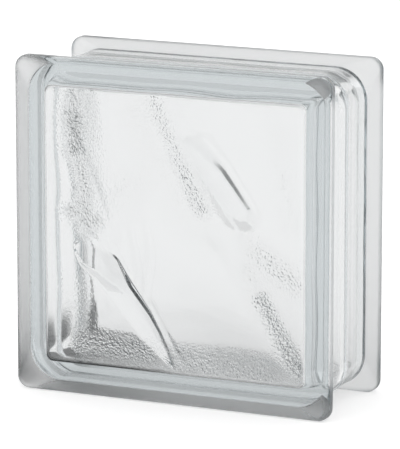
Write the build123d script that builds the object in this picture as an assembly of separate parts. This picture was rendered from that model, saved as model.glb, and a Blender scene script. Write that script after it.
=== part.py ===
from build123d import *

import os
from math import cos, hypot, pi, sin

# A hollow pressed-glass wall block, standing on the rims of its two panes.
# The front pane faces -Y, the height is Z, and the origin is under the middle of the block.

# Outline of the block
face_size = 190
block_depth = 80
lip_corner_radius = 7
face_edge_radius = 3.5

# The lip: the rim of each pane, which stands proud of the side walls and holds the mortar
lip_rise = 5
lip_land_depth = 8
lip_flank_depth = 6.5
lip_edge_radius = 3

# The side walls, and the bead that fusing the two halves leaves along the seam
wall_corner_radius = 18
wall_draft = 0.6
wall_at_pane = 11
wall_at_seam = 6.5
seam_bead_rise = 0.6
seam_bead_depth = 2

# The pane and the hollow behind it
pane_thickness = 8
cavity_corner_radius = 4

# The waves pressed into the inner side of a pane: a soft swell, long folds and short steep folds
swell_height = 0.45
swell_length = 62
swell_points = 15
long_fold_rise = 1.2
long_fold_flank = 6
long_fold_tail = 22
steep_fold_rise = 2.8
steep_fold_flank = 2.6
steep_fold_tail = 8
fold_sink = 0.9
fold_stations = 5

# Folds in mm from the middle of a pane, seen from outside it: both ends, and how far they bow
front_long_folds = [((-76, 78), (-36, -4), 3)]
front_steep_folds = [((-60, -6), (4, -78), 3)]
rear_long_folds = [((46, 72), (-54, -90), -4)]
rear_steep_folds = [((18, 47), (-24, 0), 2)]

half_depth = block_depth / 2
middle_z = face_size / 2
wall_size = face_size - 2 * lip_rise
seam_size = wall_size - 2 * wall_draft
cavity_size = wall_size - 2 * wall_at_pane
seam_corner_radius = wall_corner_radius - wall_draft
rim_y = lip_land_depth - half_depth
root_y = rim_y + lip_flank_depth
pane_y = pane_thickness - half_depth


def rounded_square(size, corner_radius, y):
    """A rounded square across the block, at a depth."""
    plane = Plane((0, y, middle_z), x_dir=(1, 0, 0), z_dir=(0, 1, 0))
    return plane * RectangleRounded(size, size, corner_radius)


def outer_form():
    """The front half without its hollow: the lip, the walls and its share of the seam bead."""
    lip_outline = rounded_square(face_size, lip_corner_radius, -half_depth)
    rim_outline = rounded_square(face_size, lip_corner_radius, rim_y)
    root_outline = rounded_square(wall_size, wall_corner_radius, root_y)
    seam_outline = rounded_square(seam_size, seam_corner_radius, 0)
    lip = extrude(lip_outline, lip_land_depth, dir=(0, 1, 0)) + loft([rim_outline, root_outline])
    lip = fillet(lip.faces().sort_by(Axis.Y)[0].edges(), face_edge_radius)
    rim_edges = lip.edges().filter_by(lambda edge: abs(edge.center().Y - rim_y) < 0.01)
    lip = fillet(rim_edges, lip_edge_radius)
    return lip + loft([root_outline, seam_outline]) + seam_bead()


def seam_bead():
    """The rounded ridge of squeezed glass along this half's edge of the seam."""
    bead_size = seam_size + 2 * seam_bead_rise
    foot = rounded_square(seam_size, seam_corner_radius, -2 * seam_bead_depth)
    crest = rounded_square(bead_size, seam_corner_radius + seam_bead_rise, -seam_bead_depth)
    return loft([foot, crest]) + extrude(crest, seam_bead_depth, dir=(0, 1, 0))


def swell(x, z):
    """How far the soft swell stands out from the mean inner side of the pane."""
    return swell_height * sin(2 * pi * (x + 0.6 * z) / swell_length) * cos(pi * (z - 0.4 * x) / swell_length)


def swell_pad():
    """The glass up to the soft swell on the inner side of the pane."""
    reach = cavity_size / 2 + wall_at_pane / 2
    places = [reach * (2 * index / (swell_points - 1) - 1) for index in range(swell_points)]
    rows = [[(x, pane_y + swell(x, z), middle_z + z) for x in places] for z in places]
    return extrude(Face.make_surface_from_array_of_points(rows), pane_thickness / 2, dir=(0, -1, 0))


def fold_ridge(fold, rise, flank, tail):
    """One fold: a ridge with a steep flank and a long tail, which comes up out of the swell and sinks again."""
    (x0, z0), (x1, z1), bow = fold
    length = hypot(x1 - x0, z1 - z0)
    along = Vector((x1 - x0) / length, 0, (z1 - z0) / length)
    across = along.cross(Vector(0, 1, 0))
    start = Vector(x0, pane_y, middle_z + z0)
    sections = []
    for index in range(fold_stations):
        part_way = index / (fold_stations - 1)
        bulge = 4 * part_way * (1 - part_way)
        crest = (rise + fold_sink) * bulge - fold_sink
        foot = start + along * (length * part_way) + across * (bow * bulge)
        plane = Plane(foot, x_dir=across, z_dir=across.cross(Vector(0, 1, 0)))
        under = -pane_thickness / 3
        tail_sag = (crest - fold_sink) / 2 - rise / 8
        outline = Polyline((0, crest), (flank, -fold_sink), (flank, under), (-tail, under), (-tail, -fold_sink))
        slope = ThreePointArc((-tail, -fold_sink), (-tail / 2, tail_sag), (0, crest))
        sections.append(plane * make_face(outline + slope))
    return loft(sections)


def hollow(long_folds, steep_folds):
    """The space behind a pane, as far as the seam, with the pressed waves left standing in it."""
    pane_outline = rounded_square(cavity_size, cavity_corner_radius, pane_y)
    seam_opening = seam_size - 2 * wall_at_seam
    seam_outline = rounded_square(seam_opening, seam_corner_radius - wall_at_seam, 0)
    space = loft([pane_outline, seam_outline])
    space += extrude(pane_outline, pane_thickness / 4, dir=(0, -1, 0))
    space -= swell_pad()
    for fold in long_folds:
        space -= fold_ridge(fold, long_fold_rise, long_fold_flank, long_fold_tail)
    for fold in steep_folds:
        space -= fold_ridge(fold, steep_fold_rise, steep_fold_flank, steep_fold_tail)
    return space


def pressed_half(long_folds, steep_folds):
    """One pressed half of the block, with its pane at the front and its open side on the seam."""
    return outer_form() - hollow(long_folds, steep_folds)


front_half = pressed_half(front_long_folds, front_steep_folds)
rear_half = pressed_half(rear_long_folds, rear_steep_folds).rotate(Axis.Z, 180)

os.makedirs("parts", exist_ok=True)
for name, half in {"front_half": front_half, "rear_half": rear_half}.items():
    half.label = name
    export_step(half, f"parts/{name}.step")
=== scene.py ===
import math
import bpy
import numpy as np
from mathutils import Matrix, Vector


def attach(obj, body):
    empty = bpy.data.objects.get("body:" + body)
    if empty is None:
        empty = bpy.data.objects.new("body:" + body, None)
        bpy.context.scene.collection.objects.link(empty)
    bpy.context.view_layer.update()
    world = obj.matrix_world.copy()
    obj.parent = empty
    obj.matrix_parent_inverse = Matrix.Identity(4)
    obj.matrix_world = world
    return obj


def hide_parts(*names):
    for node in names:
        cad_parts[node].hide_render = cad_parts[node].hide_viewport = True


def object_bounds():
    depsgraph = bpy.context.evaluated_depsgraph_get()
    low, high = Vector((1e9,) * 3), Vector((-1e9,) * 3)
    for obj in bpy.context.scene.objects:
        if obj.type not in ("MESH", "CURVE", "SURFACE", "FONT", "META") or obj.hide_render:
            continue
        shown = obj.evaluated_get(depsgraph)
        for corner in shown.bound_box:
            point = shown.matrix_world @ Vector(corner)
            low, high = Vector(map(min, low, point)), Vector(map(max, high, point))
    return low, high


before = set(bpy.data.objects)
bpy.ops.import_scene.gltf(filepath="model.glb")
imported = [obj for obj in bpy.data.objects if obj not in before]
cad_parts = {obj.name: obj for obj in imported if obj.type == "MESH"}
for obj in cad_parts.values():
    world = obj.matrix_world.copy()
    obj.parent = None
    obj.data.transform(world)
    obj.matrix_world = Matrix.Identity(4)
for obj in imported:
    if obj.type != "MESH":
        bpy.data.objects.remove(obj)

lowCorner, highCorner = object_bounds()
mm = 0.001
blockSize = (highCorner[0] - lowCorner[0]) / mm
halfDepth = (highCorner[1] - lowCorner[1]) / 2 / mm
middleZ = (lowCorner[2] + highCorner[2]) / 2
facingFront = (math.pi / 2, 0, 0)


def clearSelection():
    if bpy.context.object and bpy.context.object.mode != "OBJECT":
        bpy.ops.object.mode_set(mode="OBJECT")
    bpy.ops.object.select_all(action="DESELECT")


def pickPiece(piece):
    clearSelection()
    piece.select_set(True)
    bpy.context.view_layer.objects.active = piece


def applyPlace(piece):
    pickPiece(piece)
    bpy.ops.object.transform_apply(location=True, rotation=True, scale=True)


def joinPieces(pieces, name):
    clearSelection()
    for piece in pieces:
        piece.select_set(True)
    bpy.context.view_layer.objects.active = pieces[0]
    bpy.ops.object.join()
    joined = bpy.context.object
    joined.name = name
    return joined


def vertexPlaces(piece):
    flat = np.empty(len(piece.data.vertices) * 3)
    piece.data.vertices.foreach_get("co", flat)
    return flat.reshape(-1, 3)


def addMath(nodes, links, operation, *values):
    # Each value is a number or another node's output
    node = nodes.new("ShaderNodeMath")
    node.operation = operation
    for index, value in enumerate(values):
        if isinstance(value, bpy.types.NodeSocket):
            links.new(value, node.inputs[index])
        else:
            node.inputs[index].default_value = value
    return node.outputs["Value"]


def addRamp(nodes, links, value, span, levels=(0, 1), smooth=True):
    # Goes from the first level to the second while the value crosses the span
    ramp = nodes.new("ShaderNodeMapRange")
    if smooth:
        ramp.interpolation_type = "SMOOTHSTEP"
    ramp.inputs["From Min"].default_value = span[0]
    ramp.inputs["From Max"].default_value = span[1]
    ramp.inputs["To Min"].default_value = levels[0]
    ramp.inputs["To Max"].default_value = levels[1]
    links.new(value, ramp.inputs["Value"])
    return ramp.outputs["Result"]


# Outer form of one half, in mm: its lip, its side walls and its share of the seam bead
blockForm = {
    "lipCorner": 7,
    "faceEdge": 3.5,
    "faceEdgeSteps": 6,
    "lipRise": 5,
    "landDepth": 8,
    "flankDepth": 6.5,
    "flankShares": (0.33, 0.66),
    "lipEdge": 3,
    "rootFillet": 2,
    "filletSteps": 4,
    "wallCorner": 18,
    "wallDraft": 0.6,
    "beadRise": 0.6,
    "beadReach": 2.6,
    "beadCrest": 0.75,  # share of the reach at which the bead stands highest
    "seamGroove": 0.3,
    "grooveStart": 0.88,  # share of the reach at which the groove begins
    "beadShares": (0, 0.2, 0.45, 0.75, 0.88, 1),
    "paneInset": 8,
    "cornerSteps": 12,
}


def halfProfile(form):
    # Each station is (depth behind the face, offset inside the lip's outline, corner radius)
    stations = [(0, form["paneInset"], form["lipCorner"] - form["faceEdge"])]
    for step in range(form["faceEdgeSteps"] + 1):
        turn = math.radians(90 * step / form["faceEdgeSteps"])
        offset = form["faceEdge"] * (1 - math.sin(turn))
        stations.append((form["faceEdge"] * (1 - math.cos(turn)), offset, form["lipCorner"] - offset))
    slant = math.atan2(form["lipRise"], form["flankDepth"])
    growth = (form["wallCorner"] - form["lipCorner"]) / form["lipRise"]
    rimTangent = form["lipEdge"] * math.tan(slant / 2)
    for step in range(form["filletSteps"] + 1):
        turn = slant * step / form["filletSteps"]
        offset = form["lipEdge"] * (1 - math.cos(turn))
        depth = form["landDepth"] - rimTangent + form["lipEdge"] * math.sin(turn)
        stations.append((depth, offset, form["lipCorner"] + growth * offset))
    rootDepth = form["landDepth"] + form["flankDepth"]
    rootTangent = form["rootFillet"] * math.tan(slant / 2)
    flankStart = stations[-1]
    flankEnd = (rootDepth - rootTangent * math.cos(slant), form["lipRise"] - rootTangent * math.sin(slant))
    for share in form["flankShares"]:
        depth = flankStart[0] + share * (flankEnd[0] - flankStart[0])
        offset = flankStart[1] + share * (flankEnd[1] - flankStart[1])
        stations.append((depth, offset, form["lipCorner"] + growth * offset))
    for step in range(form["filletSteps"] + 1):
        turn = slant * (1 - step / form["filletSteps"])
        offset = form["lipRise"] - form["rootFillet"] * (1 - math.cos(turn))
        depth = rootDepth + rootTangent - form["rootFillet"] * math.sin(turn)
        stations.append((depth, offset, form["lipCorner"] + growth * offset))
    for share in form["beadShares"]:
        depth = halfDepth - form["beadReach"] * (1 - share)
        drafted = form["wallDraft"] * (depth - rootDepth) / (halfDepth - rootDepth)
        rise = form["beadRise"] * math.sin(math.pi / 2 * min(share / form["beadCrest"], 1))
        groove = form["seamGroove"] * max(share - form["grooveStart"], 0) / (1 - form["grooveStart"])
        offset = form["lipRise"] + drafted - rise + groove
        stations.append((depth, offset, form["wallCorner"] - drafted))
    return stations


def addOutline(size, corner, depth, steps):
    place = (0, depth * mm, middleZ)
    bpy.ops.mesh.primitive_plane_add(size=size * mm, location=place, rotation=facingFront)
    bpy.ops.mesh.bevel(
        offset=corner * mm, segments=steps, affect="VERTICES", profile=0.5, clamp_overlap=False)
    bpy.ops.mesh.delete(type="ONLY_FACE")


def pickVertices(piece, chosen):
    bpy.ops.object.mode_set(mode="OBJECT")
    piece.data.polygons.foreach_set("select", np.zeros(len(piece.data.polygons), bool))
    piece.data.edges.foreach_set("select", np.zeros(len(piece.data.edges), bool))
    piece.data.vertices.foreach_set("select", chosen)
    bpy.ops.object.mode_set(mode="EDIT")


def addBlockForm(form):
    profile = halfProfile(form)
    stations = [(depth - halfDepth, offset, corner) for depth, offset, corner in profile]
    stations += [(halfDepth - depth, offset, corner) for depth, offset, corner in reversed(profile[:-1])]
    clearSelection()
    bpy.ops.mesh.primitive_plane_add(size=mm)
    piece = bpy.context.object
    bpy.ops.object.mode_set(mode="EDIT")
    bpy.ops.mesh.select_mode(type="VERT")
    bpy.ops.mesh.delete(type="VERT")
    for depth, offset, corner in stations:
        addOutline(blockSize - 2 * offset, corner, depth, form["cornerSteps"])
    ring = 4 * (form["cornerSteps"] + 1)
    places = np.arange(ring * len(stations))
    for index in range(len(stations) - 1):
        pickVertices(piece, (places >= ring * index) & (places < ring * (index + 2)))
        bpy.ops.mesh.bridge_edge_loops()
    for index in (0, len(stations) - 1):
        pickVertices(piece, (places >= ring * index) & (places < ring * (index + 1)))
        bpy.ops.mesh.edge_face_add()
    bpy.ops.mesh.select_all(action="SELECT")
    bpy.ops.mesh.normals_make_consistent(inside=False)
    bpy.ops.object.mode_set(mode="OBJECT")
    applyPlace(piece)
    print("outer form:", len(piece.data.vertices), "vertices in", len(stations), "outlines")
    return piece


# The hollow, in mm
hollowForm = {
    "paneThickness": 8,
    "fieldSize": 158,
    "fieldCorner": 4,
    "fieldCells": 210,
    "rimFade": 12,  # the grid of a pane is even at its rim, and as fine as the waves ask this far in
    "footFillet": 2.5,
    "filletSteps": 4,
    "seamSize": 165.8,
    "weldGap": 0.02,
}
# The forms that the waves of both panes share, in mm
waveForm = {
    "swellLength": 62,
    "swellSlants": (0.6, 0.4),
    "foldRise": 1.2,
    "foldFlank": 6,
    "foldTail": 22,
    "foldSink": 0.9,
    "foldOverrun": 0.2,  # share of a fold's length that it sinks on beyond each end
    "tailPower": 1.6,
    "blend": 4.0,
    "leafEase": 0.2,  # share of a leaf's flank that rounds off at its foot, and again at its top
}
# The waves pressed into each pane, in mm from its middle, seen from the front
frontWaves = {
    "swellHeight": 0.45,
    "longFolds": [((-76, 78), (-36, -4), 3)],
    # Where the grid is finer: from, to and share of its lines
    "fineAcross": (-62, 3, 0.62),
    "fineUp": (-75, -2, 0.64),
    # Each point of a leaf's outline is (x, z, width of the flank there)
    "leaf": [(-60.5, -10, 1.8), (-60, -15, 1.7), (-56.5, -21.5, 2.0), (-48, -28.5, 6), (-36, -43, 11),
             (-20, -60, 9), (-6, -71.5, 4), (1, -76, 2.0), (-2, -66, 2.2), (-7, -55, 2.8),
             (-12.5, -44.5, 4.2), (-24.5, -28.5, 5.4), (-33, -16, 5.2), (-35, -13, 11), (-39, -9.5, 26),
             (-46, -6, 34), (-54, -4.5, 34), (-58.5, -6, 18)],
    "leafRise": 4.4,
    # Thin creases: points, height and half width
    "creases": [([(-55, 3), (-50, -4), (-45, -8), (-36, -10.5), (-32, -17), (-26, -25)], 0.2, 1.5),
                ([(-13, -40), (-4, -55), (5, -70)], 0.45, 1.4)],
    # Stippled zones: from, to, radius and strength
    "stipple": [((-60, 76), (-61, 60), 7, 0.8), ((-61, 62), (-60, 43), 6, 1.3),
                ((-59, 42), (-53, 19), 5, 0.8), ((-62, 8), (-48, 4), 6, 0.6),
                ((-55, 16), (-54, 2), 6, 0.7), ((-58, 70), (-46, 10), 12, 0.25),
                ((-60, -30), (-54, -60), 9, 0.07), ((-54, -66), (-15, -68), 7, 0.6),
                ((3, -70), (57, -74), 8, 0.6), ((44, -14), (53, -32), 7, 0.35),
                ((53, -32), (74, -68), 6, 1.0), ((52, -7), (73, -21), 10, 0.5),
                ((-12, 76), (2, 44), 6, 0.6), ((2, 44), (16, 16), 7, 0.6),
                ((-20, 66), (6, 16), 14, 0.25), ((-44, 16), (-20, 30), 13, 0.25),
                ((62, 60), (70, 12), 8, 0.25)],
}
rearWaves = {
    "swellHeight": -0.45,  # sunk where the front pane's swell stands out
    "longFolds": [((-46, 72), (54, -90), 4)],
    "fineAcross": (-14, 28, 0.45),
    "fineUp": (-4, 46, 0.5),
    "leaf": [(-20, 45, 4), (-25, 38, 5), (-24, 26, 7), (-14, 8, 10), (0, -8, 12), (14, -12, 10),
             (24, -8, 9), (25, 0, 7), (21, 6.5, 2.6), (12, 17.5, 2.6), (4, 26.5, 2.6), (0, 30.5, 3.4),
             (-12, 42.5, 5)],
    "leafRise": 4.4,
    "creases": [([(-24, 52), (-19, 46), (-13, 42)], 0.4, 1.6)],
    "stipple": [((-50, 60), (-34, 20), 12, 0.2), ((20, -20), (50, -70), 10, 0.2)],
}


def nearestOnRun(x, z, start, end):
    # For each point (x, z): how far along the run its nearest place lies, from 0 to 1, and how far off
    (x0, z0), (x1, z1) = start, end
    share = ((x - x0) * (x1 - x0) + (z - z0) * (z1 - z0)) / ((x1 - x0) ** 2 + (z1 - z0) ** 2)
    share = np.clip(share, 0, 1)
    gap = np.hypot(x - x0 - share * (x1 - x0), z - z0 - share * (z1 - z0))
    return share, gap


def distanceToRuns(x, z, points):
    gaps = [nearestOnRun(x, z, start, end)[1] for start, end in zip(points, points[1:])]
    return np.minimum.reduce(gaps)


def foldRidge(x, z, fold, form):
    # A long ridge with a short flank on one side and a long tail on the other, bowed and sunk at its ends
    (x0, z0), (x1, z1), bow = fold
    length = math.hypot(x1 - x0, z1 - z0)
    alongX, alongZ = (x1 - x0) / length, (z1 - z0) / length
    along = ((x - x0) * alongX + (z - z0) * alongZ) / length
    along = np.clip(along, -form["foldOverrun"], 1 + form["foldOverrun"])
    bulge = 4 * along * (1 - along)
    across = (z - z0) * alongX - (x - x0) * alongZ - bow * bulge
    crest = (form["foldRise"] + form["foldSink"]) * bulge - form["foldSink"]
    flank = np.clip(across / form["foldFlank"], 0, 1)
    tail = np.clip(-across / form["foldTail"], 0, 1)
    return crest - (crest + form["foldSink"]) * (flank + 1 - (1 - tail) ** form["tailPower"])


def leafHeight(x, z, outline, rise, ease):
    # A raised leaf: its height climbs from every side of the outline over that side's own width
    climb = np.ones(x.shape)
    inside = np.zeros(x.shape, bool)
    for (x0, z0, width0), (x1, z1, width1) in zip(outline, outline[1:] + outline[:1]):
        share, gap = nearestOnRun(x, z, (x0, z0), (x1, z1))
        climb = np.minimum(climb, gap / (width0 + share * (width1 - width0)))
        crosses = (z0 > z) != (z1 > z)
        height = z1 - z0 if z1 != z0 else 1  # a level side is never crossed
        inside ^= crosses & (x < x0 + (z - z0) / height * (x1 - x0))
    climb = np.where(inside, climb, 0)
    foot = np.minimum(climb, ease)
    top = np.maximum(climb - 1 + ease, 0)
    even = climb - foot + foot * foot / (2 * ease) - top * top / (2 * ease)
    return rise * even / (1 - ease)


def stippleShare(x, z, zones):
    share = np.zeros(x.shape)
    for start, end, radius, strength in zones:
        share = np.maximum(share, strength * np.exp(-(distanceToRuns(x, z, [start, end]) / radius) ** 2))
    return share


def paneRelief(x, z, waves, form):
    across, up = form["swellSlants"]
    swell = np.sin(2 * math.pi * (x + across * z) / form["swellLength"])
    swell = swell * np.cos(math.pi * (z - up * x) / form["swellLength"])
    height = waves["swellHeight"] * swell
    for fold in waves["longFolds"]:
        ridge = foldRidge(x, z, fold, form)
        height = np.logaddexp(form["blend"] * height, form["blend"] * ridge) / form["blend"]
    for points, rise, halfWidth in waves["creases"]:
        height = height + rise * np.exp(-(distanceToRuns(x, z, points) / halfWidth) ** 2)
    return height + leafHeight(x, z, waves["leaf"], waves["leafRise"], form["leafEase"])


def gatherLines(places, others, half, span, fade):
    # Moves the lines of an even grid so that a given share of them lies within one span
    low, high, share = span
    before = (1 - share) * (low + half) / (2 * half - (high - low))
    lines = [-half, (2 * before - 1) * half, (2 * (before + share) - 1) * half, half]
    gathered = np.interp(places, lines, [-half, low, high, half])
    return places + np.clip((half - np.abs(others)) / fade, 0, 1) * (gathered - places)


def roundCorners(x, z, half, corner):
    # Takes a square grid to a rounded square: each corner patch becomes a quarter disc
    inner = half - corner
    u, v = (np.abs(x) - inner) / corner, (np.abs(z) - inner) / corner
    patch = (u > 0) & (v > 0)
    u, v = np.clip(u, 0, 1), np.clip(v, 0, 1)
    newX = np.where(patch, np.sign(x) * (inner + corner * u * np.sqrt(1 - v * v / 2)), x)
    newZ = np.where(patch, np.sign(z) * (inner + corner * v * np.sqrt(1 - u * u / 2)), z)
    return newX, newZ


def addPane(form, waves, side):
    # The waved inner side of a pane, and how strongly each of its points is stippled
    clearSelection()
    cells = form["fieldCells"]
    field = form["fieldSize"] - 2 * form["footFillet"]
    paneDepth = side * (halfDepth - form["paneThickness"])
    bpy.ops.mesh.primitive_grid_add(
        x_subdivisions=cells, y_subdivisions=cells, size=field * mm,
        location=(0, paneDepth * mm, middleZ), rotation=facingFront)
    piece = bpy.context.object
    applyPlace(piece)
    places = vertexPlaces(piece)
    x, z = places[:, 0] / mm, (places[:, 2] - middleZ) / mm
    gatheredX = gatherLines(x, z, field / 2, waves["fineAcross"], form["rimFade"])
    gatheredZ = gatherLines(z, x, field / 2, waves["fineUp"], form["rimFade"])
    x, z = roundCorners(gatheredX, gatheredZ, field / 2, form["fieldCorner"])
    relief = paneRelief(x, z, waves, waveForm)
    places[:, 0], places[:, 2] = x * mm, z * mm + middleZ
    places[:, 1] = (paneDepth - side * relief) * mm
    piece.data.vertices.foreach_set("co", places.ravel())
    print("pane:", len(places), "vertices, waves up to", round(float(relief.max()), 2), "mm")
    return piece, stippleShare(x, z, waves["stipple"])


def addSideWalls(form, side):
    # A fillet round the active pane, and from there the side walls as far as the seam
    field = form["fieldSize"] - 2 * form["footFillet"]
    centre = (0, 0, middleZ)
    size = field
    bpy.ops.object.mode_set(mode="EDIT")
    bpy.ops.mesh.select_mode(type="EDGE")
    bpy.ops.mesh.select_all(action="SELECT")
    bpy.ops.mesh.region_to_loop()
    for step in range(form["filletSteps"]):
        last = math.radians(90 * step / form["filletSteps"])
        turn = math.radians(90 * (step + 1) / form["filletSteps"])
        move = -side * form["footFillet"] * (math.cos(last) - math.cos(turn)) * mm
        newSize = field + 2 * form["footFillet"] * math.sin(turn)
        bpy.ops.mesh.extrude_region_move(TRANSFORM_OT_translate={"value": (0, move, 0)})
        bpy.ops.transform.resize(value=(newSize / size, 1, newSize / size), center_override=centre)
        size = newSize
    widening = form["seamSize"] / size
    bpy.ops.mesh.extrude_region_move(TRANSFORM_OT_translate={"value": (0, 0, 0)})
    bpy.ops.transform.resize(value=(widening, 0, widening), center_override=centre)
    bpy.ops.object.mode_set(mode="OBJECT")


def levelSideWalls(piece, form):
    # Keeps each side wall flat: where the waves lift the wall's foot, it lies a little further out
    places = vertexPlaces(piece)
    ring = 4 * form["fieldCells"]
    foot = slice(-2 * ring, -ring)
    wallDepth = (halfDepth - form["paneThickness"] - form["footFillet"]) * mm
    nearer = 1 - np.abs(places[foot, 1]) / wallDepth
    spread = 1 + (form["seamSize"] / form["fieldSize"] - 1) * nearer
    places[foot, 0] *= spread
    places[foot, 2] = middleZ + (places[foot, 2] - middleZ) * spread
    piece.data.vertices.foreach_set("co", places.ravel())


def addHollowHalf(form, waves, side):
    # side is -1 behind the front pane and 1 before the rear one
    piece, paneStipple = addPane(form, waves, side)
    addSideWalls(form, side)
    levelSideWalls(piece, form)
    # Only the panes are stippled, and the side walls are smooth
    share = np.zeros(len(piece.data.vertices), np.float32)
    share[:len(paneStipple)] = paneStipple
    stipple = piece.data.attributes.new("stipple", "FLOAT", "POINT")
    stipple.data.foreach_set("value", share)
    return piece


def addHollow(form):
    halves = [addHollowHalf(form, frontWaves, -1), addHollowHalf(form, rearWaves, 1)]
    hollow = joinPieces(halves, "hollow")
    bpy.ops.object.mode_set(mode="EDIT")
    bpy.ops.mesh.select_all(action="SELECT")
    bpy.ops.mesh.remove_doubles(threshold=form["weldGap"] * mm)
    bpy.ops.mesh.normals_make_consistent(inside=True)
    bpy.ops.object.mode_set(mode="OBJECT")
    print("hollow:", len(hollow.data.vertices), "vertices")
    return hollow


# Glass
glassLook = {
    "ior": 1.5,
    "tint": (0.42, 0.51, 0.54, 1),
    "density": 8.0,
    "grainScale": 800.0,
    "grainDetail": 1,
    "grainRoughness": 0.6,
    "grainHeight": 1.8,  # mm
    "speckSpan": (0.48, 0.62),  # the specks are where the grain is this high
    "speckRoughness": 0.28,
    "wallRoughness": 0.1,
    "wallReach": 25.6,  # mm from the seam
    "lipRoughness": 0.58,
    "lipReach": 36.5,  # mm from the seam
    "smoothAngle": 40,
}


def addAttribute(nodes, name):
    attribute = nodes.new("ShaderNodeAttribute")
    attribute.attribute_name = name
    return attribute.outputs["Fac"]


def clearGlass(look):
    material = bpy.data.materials.new("clearGlass")
    material.use_nodes = True
    nodes, links = material.node_tree.nodes, material.node_tree.links
    shader = nodes["Principled BSDF"]
    shader.inputs["Base Color"].default_value = (1, 1, 1, 1)
    shader.inputs["IOR"].default_value = look["ior"]
    shader.inputs["Transmission Weight"].default_value = 1
    place = nodes.new("ShaderNodeTexCoord")
    grain = nodes.new("ShaderNodeTexNoise")
    grain.inputs["Scale"].default_value = look["grainScale"]
    grain.inputs["Detail"].default_value = look["grainDetail"]
    grain.inputs["Roughness"].default_value = look["grainRoughness"]
    links.new(place.outputs["Object"], grain.inputs["Vector"])
    stipple = addAttribute(nodes, "stipple")
    dullness = addAttribute(nodes, "dullness")
    specks = addRamp(
        nodes, links, grain.outputs["Fac"], look["speckSpan"], (0, look["speckRoughness"]), smooth=False)
    roughness = addMath(nodes, links, "MULTIPLY_ADD", specks, stipple, dullness)
    links.new(roughness, shader.inputs["Roughness"])
    height = addMath(nodes, links, "MULTIPLY", grain.outputs["Fac"], stipple)
    relief = nodes.new("ShaderNodeBump")
    relief.inputs["Strength"].default_value = 1
    relief.inputs["Distance"].default_value = look["grainHeight"] * mm
    links.new(height, relief.inputs["Height"])
    links.new(relief.outputs["Normal"], shader.inputs["Normal"])
    absorption = nodes.new("ShaderNodeVolumeAbsorption")
    absorption.inputs["Color"].default_value = look["tint"]
    absorption.inputs["Density"].default_value = look["density"]
    links.new(absorption.outputs["Volume"], nodes["Material Output"].inputs["Volume"])
    return material


def addDullness(piece, look):
    # The side walls are a little dull, the outsides of the lips are much duller, and the faces are polished
    dull = piece.data.attributes.new("dullness", "FLOAT", "FACE")
    for face in piece.data.polygons:
        reach = abs(face.center.y) / mm
        if reach < look["wallReach"]:
            dull.data[face.index].value = look["wallRoughness"]
        elif reach < look["lipReach"]:
            dull.data[face.index].value = look["lipRoughness"]


def addGlassBlock():
    outside = addBlockForm(blockForm)
    hollow = addHollow(hollowForm)
    glass = clearGlass(glassLook)
    for surface in (outside, hollow):
        surface.data.materials.clear()
        surface.data.materials.append(glass)
    addDullness(outside, glassLook)
    block = joinPieces([outside, hollow], "glassBlock")
    pickPiece(block)
    bpy.ops.object.shade_smooth_by_angle(angle=math.radians(glassLook["smoothAngle"]))
    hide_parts("front_half", "rear_half")
    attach(block, "root")
    print("glass block:", sum(len(face.vertices) - 2 for face in block.data.polygons), "triangles")


# Floor
floorLook = {
    "colour": (0.72, 0.72, 0.72, 1),
    "size": 6.0,
    "roughness": 0.8,
    "cameraLift": 0.5,  # glow on what the camera sees of it
    "glassLift": 0.2,  # glow on what rays through or off the glass see of it, outside the painted shadow
    # Such rays also see one painted shadow left of the block, a nearly black patch standing in for the shade
    # beside and under the block: inside a circle, and in front of a slanted line
    "paintedShadowColour": (0.04, 0.044, 0.046, 1),
    "paintedShadowPlace": (-0.13, 0.015, 0),
    "paintedShadowReach": (0.1, 0.145),
    "lineWay": (0.9, 1, 0),
    "linePlace": (-0.045, 0.0),
}


def addFloor(look):
    clearSelection()
    bpy.ops.mesh.primitive_plane_add(size=look["size"])
    floor = bpy.context.object
    floor.name = "studioFloor"
    material = bpy.data.materials.new("paleFloor")
    material.use_nodes = True
    nodes, links = material.node_tree.nodes, material.node_tree.links
    shader = nodes["Principled BSDF"]
    shader.inputs["Roughness"].default_value = look["roughness"]
    shader.inputs["Emission Color"].default_value = (1, 1, 1, 1)
    rays = nodes.new("ShaderNodeLightPath").outputs
    inGlass = addMath(nodes, links, "MAXIMUM", rays["Is Transmission Ray"], rays["Is Glossy Ray"])
    place = nodes.new("ShaderNodeTexCoord")
    across = nodes.new("ShaderNodeVectorMath")
    across.operation = "DOT_PRODUCT"
    across.inputs[1].default_value = look["lineWay"]
    links.new(place.outputs["Object"], across.inputs[0])
    pastLine = addRamp(nodes, links, across.outputs["Value"], look["linePlace"])
    gap = nodes.new("ShaderNodeVectorMath")
    gap.operation = "DISTANCE"
    gap.inputs[1].default_value = look["paintedShadowPlace"]
    links.new(place.outputs["Object"], gap.inputs[0])
    pastCircle = addRamp(nodes, links, gap.outputs["Value"], look["paintedShadowReach"])
    lit = addMath(nodes, links, "MAXIMUM", pastLine, pastCircle)
    # Painted shadow: rays through or off the glass see the floor nearly black inside the patch, which stands
    # in for the shade beside and under the block
    paintedShadowMask = addMath(nodes, links, "SUBTRACT", inGlass, lit)
    paintedShadowMask.node.use_clamp = True
    colour = nodes.new("ShaderNodeMix")
    colour.data_type = "RGBA"
    colour.inputs["A"].default_value = look["colour"]
    colour.inputs["B"].default_value = look["paintedShadowColour"]
    links.new(paintedShadowMask, colour.inputs["Factor"])
    links.new(colour.outputs["Result"], shader.inputs["Base Color"])
    lift = addMath(nodes, links, "MULTIPLY", lit, look["glassLift"])
    glow = addMath(nodes, links, "MULTIPLY", inGlass, lift)
    glow = addMath(nodes, links, "MULTIPLY_ADD", rays["Is Camera Ray"], look["cameraLift"], glow)
    links.new(glow, shader.inputs["Emission Strength"])
    floor.data.materials.append(material)
    print("floor laid")


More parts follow.
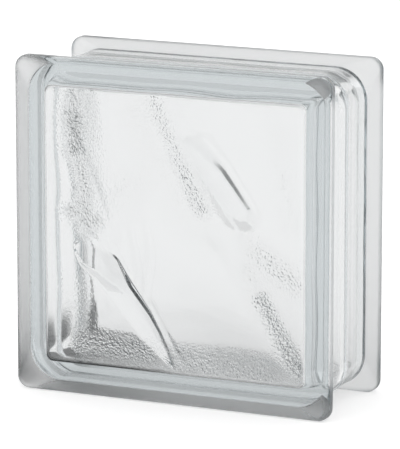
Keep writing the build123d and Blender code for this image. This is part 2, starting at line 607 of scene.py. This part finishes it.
# Light: the world is plain, but rays through or off the glass see it graded in depth and from side to side
worldLight = {
    "plain": 1.0,
    "front": 0.35,
    "behind": 0.9,
    "depthSpan": (-0.6, 0.6),
    "left": 0.8,
    "right": 1.2,
    "sideSpan": (-1.0, 1.0),
    "bounces": 28,  # light goes to and fro in thick glass many times
    "glassBounces": 24,
    "glossBounces": 20,
    "dullBounces": 8,
}


def addWorld(light):
    world = bpy.data.worlds.new("studioWorld")
    bpy.context.scene.world = world
    world.use_nodes = True
    nodes, links = world.node_tree.nodes, world.node_tree.links
    background = nodes["Background"]
    background.inputs["Color"].default_value = (1, 1, 1, 1)
    direction = nodes.new("ShaderNodeTexCoord")
    split = nodes.new("ShaderNodeSeparateXYZ")
    links.new(direction.outputs["Generated"], split.inputs["Vector"])
    inDepth = addRamp(nodes, links, split.outputs["Y"], light["depthSpan"], (light["front"], light["behind"]))
    sideways = addRamp(nodes, links, split.outputs["X"], light["sideSpan"], (light["left"], light["right"]))
    rays = nodes.new("ShaderNodeLightPath").outputs
    inGlass = addMath(nodes, links, "MAXIMUM", rays["Is Transmission Ray"], rays["Is Glossy Ray"])
    level = nodes.new("ShaderNodeMix")
    level.inputs["A"].default_value = light["plain"]
    links.new(inGlass, level.inputs["Factor"])
    links.new(addMath(nodes, links, "MULTIPLY", inDepth, sideways), level.inputs["B"])
    # The camera sees white, however bright the world is
    seen = addMath(nodes, links, "MAXIMUM", level.outputs["Result"], rays["Is Camera Ray"])
    links.new(seen, background.inputs["Strength"])
    cycles = bpy.context.scene.cycles
    cycles.max_bounces = light["bounces"]
    cycles.transmission_bounces = light["glassBounces"]
    cycles.glossy_bounces = light["glossBounces"]
    cycles.diffuse_bounces = light["dullBounces"]
    print("world built")


# Camera, in metres and degrees, as fitted to the photo
cameraFit = {
    "place": (0.861, -1.875, 0.535),
    "azimuth": 24.65,
    "lookDown": 12.05,
    "focal": 3784.0,  # in photo pixels
    "photoHeight": 449,  # pixels, the longer side
    "sensor": 36.0,
    "clip": (0.1, 50),
}


def addCamera(fit):
    clearSelection()
    turn = (math.radians(90 - fit["lookDown"]), 0, math.radians(fit["azimuth"]))
    bpy.ops.object.camera_add(location=fit["place"], rotation=turn)
    camera = bpy.context.object
    camera.name = "photoCamera"
    camera.data.sensor_width = fit["sensor"]
    camera.data.lens = fit["focal"] * fit["sensor"] / fit["photoHeight"]
    camera.data.clip_start, camera.data.clip_end = fit["clip"]
    bpy.context.scene.camera = camera
    print("camera placed")


addGlassBlock()
addFloor(floorLook)
addWorld(worldLight)
addCamera(cameraFit)
bpy.context.scene.view_settings.view_transform = "Standard"
